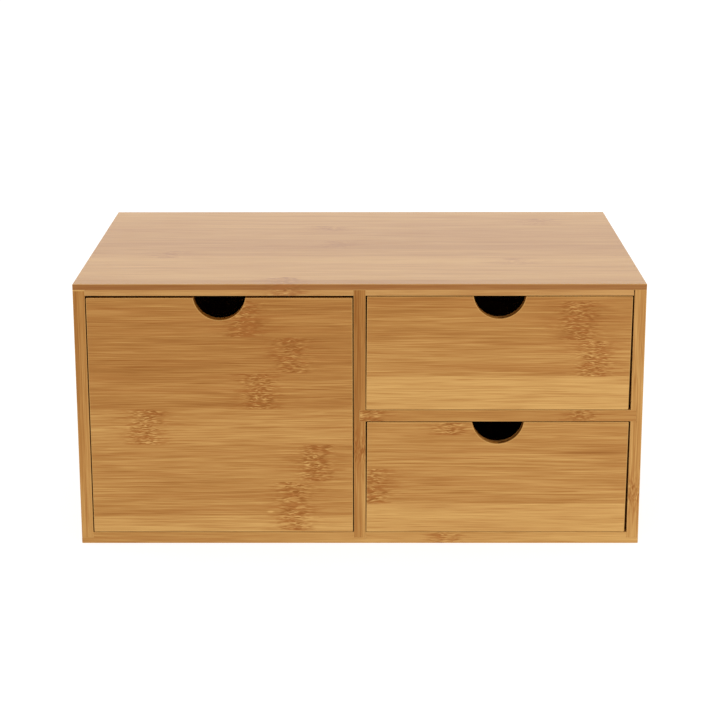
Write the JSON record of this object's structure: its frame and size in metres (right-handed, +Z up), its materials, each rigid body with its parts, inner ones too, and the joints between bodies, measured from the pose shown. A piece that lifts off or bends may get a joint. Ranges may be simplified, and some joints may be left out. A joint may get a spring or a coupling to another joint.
{
  "type": "desk organizer",
  "caption": "Free-standing bamboo desk organizer: an open-fronted case with a tall drawer beside two stacked low ones, each pulled out by a round finger notch.",
  "frame": {"origin": "centre of the case's underside, on the surface that it stands on", "axes": "+X to the right and +Z up as seen from the front; the drawers pull out towards -Y"},
  "size_m": [0.335, 0.225, 0.16],
  "materials": {
    "case_bamboo": "satin clear lacquer over laminated bamboo",
    "front_bamboo": "satin clear lacquer over laminated bamboo, grain across",
    "drawer_bamboo": "fine sanded bamboo"
  },
  "bodies": {
    "case": {"top_panel": "case_bamboo", "bottom_panel": "case_bamboo", "left_side": "case_bamboo", "right_side": "case_bamboo", "center_divider": "case_bamboo", "drawer_shelf": "case_bamboo", "back_panel": "case_bamboo"},
    "large_drawer": {"large_drawer_front": "front_bamboo", "large_drawer_left_side": "drawer_bamboo", "large_drawer_right_side": "drawer_bamboo", "large_drawer_back": "drawer_bamboo", "large_drawer_floor": "drawer_bamboo"},
    "upper_drawer": {"upper_drawer_front": "front_bamboo", "upper_drawer_left_side": "drawer_bamboo", "upper_drawer_right_side": "drawer_bamboo", "upper_drawer_back": "drawer_bamboo", "upper_drawer_floor": "drawer_bamboo"},
    "lower_drawer": {"lower_drawer_front": "front_bamboo", "lower_drawer_left_side": "drawer_bamboo", "lower_drawer_right_side": "drawer_bamboo", "lower_drawer_back": "drawer_bamboo", "lower_drawer_floor": "drawer_bamboo"}
  },
  "joints": [
    {"name": "large_drawer_slide", "type": "slide", "parent": "case", "child": "large_drawer", "axis": [0, -1, 0], "range_m": [0, 0.18]},
    {"name": "upper_drawer_slide", "type": "slide", "parent": "case", "child": "upper_drawer", "axis": [0, -1, 0], "range_m": [0, 0.18]},
    {"name": "lower_drawer_slide", "type": "slide", "parent": "case", "child": "lower_drawer", "axis": [0, -1, 0], "range_m": [0, 0.18]}
  ]
}
